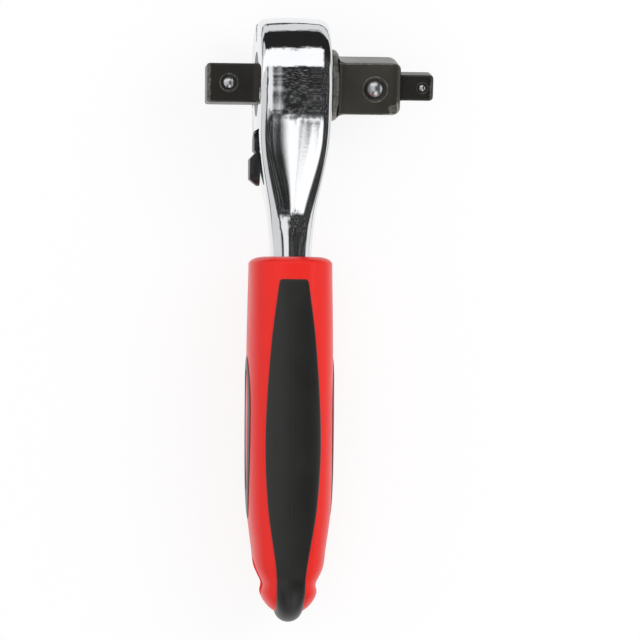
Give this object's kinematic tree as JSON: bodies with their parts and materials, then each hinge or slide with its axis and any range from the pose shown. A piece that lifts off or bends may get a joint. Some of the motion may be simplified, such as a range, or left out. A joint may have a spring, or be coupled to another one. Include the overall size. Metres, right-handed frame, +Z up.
{
  "type": "stubby triple-drive ratchet",
  "caption": "Stubby reversible ratchet: chrome head with a 3/8 in square drive on one side and stepped 1/2 in and 1/4 in squares on the other, red handle with a black soft grip.",
  "frame": {"origin": "under the middle of the tool, level with the lowest point of the head as the tool lies on its narrow edge", "axes": "+X along the drive axis towards the 1/2 in and 1/4 in drives, +Y along the handle towards the head, +Z up"},
  "size_m": [0.0556, 0.1476, 0.0328],
  "materials": {
    "chrome_forging": "polished chrome plate",
    "chrome_plate": "polished chrome plate",
    "bright_steel": "bright bare steel",
    "black_steel": "black oxide, worn bright at the edges",
    "black_paint": "satin black",
    "red_plastic": "satin gloss",
    "grip_rubber": "matte soft moulding",
    "seal_rubber": "matte"
  },
  "bodies": {
    "body": {"head_forging": "chrome_forging", "cover_plate": "chrome_plate", "cover_screw_1": "bright_steel", "cover_screw_2": "bright_steel", "cover_screw_3": "bright_steel", "thrust_washer": "bright_steel", "gear_seal": "seal_rubber", "handle_core": "red_plastic", "soft_grip": "grip_rubber", "badge_ring_left": "grip_rubber", "badge_ring_right": "grip_rubber"},
    "drive": {"ratchet_gear": "black_steel", "three_eighths_anvil": "black_steel", "detent_spring_half": "bright_steel", "detent_spring_three_eighths": "bright_steel", "detent_spring_quarter": "bright_steel"},
    "lever": {"reversing_lever": "black_paint", "lever_clip": "bright_steel", "plunger_spring": "bright_steel"},
    "pawl": {"pawl": "black_steel"},
    "plunger": {"lever_plunger": "bright_steel"},
    "ball_half": {"detent_ball_half": "bright_steel"},
    "ball_three_eighths": {"detent_ball_three_eighths": "bright_steel"},
    "ball_quarter": {"detent_ball_quarter": "bright_steel"}
  },
  "joints": [
    {"name": "drive_spin", "type": "hinge", "parent": "body", "child": "drive", "pos_m": [-0.0068, 0.05743, 0.01638], "axis": [1, 0, 0], "continuous": true},
    {"name": "lever_flip", "type": "hinge", "parent": "body", "child": "lever", "pos_m": [-0.0068, 0.04228, 0.01638], "axis": [1, 0, 0], "range_deg": [-25, 25]},
    {"name": "pawl_rock", "type": "hinge", "parent": "body", "child": "pawl", "pos_m": [-0.0068, 0.04533, 0.01638], "axis": [1, 0, 0], "range_deg": [-4.8, 4.8]},
    {"name": "plunger_slide", "type": "slide", "parent": "lever", "child": "plunger", "axis": [0, -1, 0], "range_m": [0, 0.0005], "stiffness_N_per_m": 400, "springref_m": -0.0005, "deforming": ["plunger_spring"]},
    {"name": "ball_half_press", "type": "slide", "parent": "drive", "child": "ball_half", "axis": [0, 0.1994, -0.9799], "range_m": [0, 0.0009], "stiffness_N_per_m": 800, "springref_m": -0.001, "deforming": ["detent_spring_half"]},
    {"name": "ball_three_eighths_press", "type": "slide", "parent": "drive", "child": "ball_three_eighths", "axis": [0, -0.0175, -0.9998], "range_m": [0, 0.00065], "stiffness_N_per_m": 600, "springref_m": -0.001, "deforming": ["detent_spring_three_eighths"]},
    {"name": "ball_quarter_press", "type": "slide", "parent": "drive", "child": "ball_quarter", "axis": [0, 0.1994, -0.9799], "range_m": [0, 0.0004], "stiffness_N_per_m": 400, "springref_m": -0.0005, "deforming": ["detent_spring_quarter"]}
  ],
  "couplings": [
    {"joint": "pawl_rock", "follows": "lever_flip", "ratio": -0.192}
  ]
}
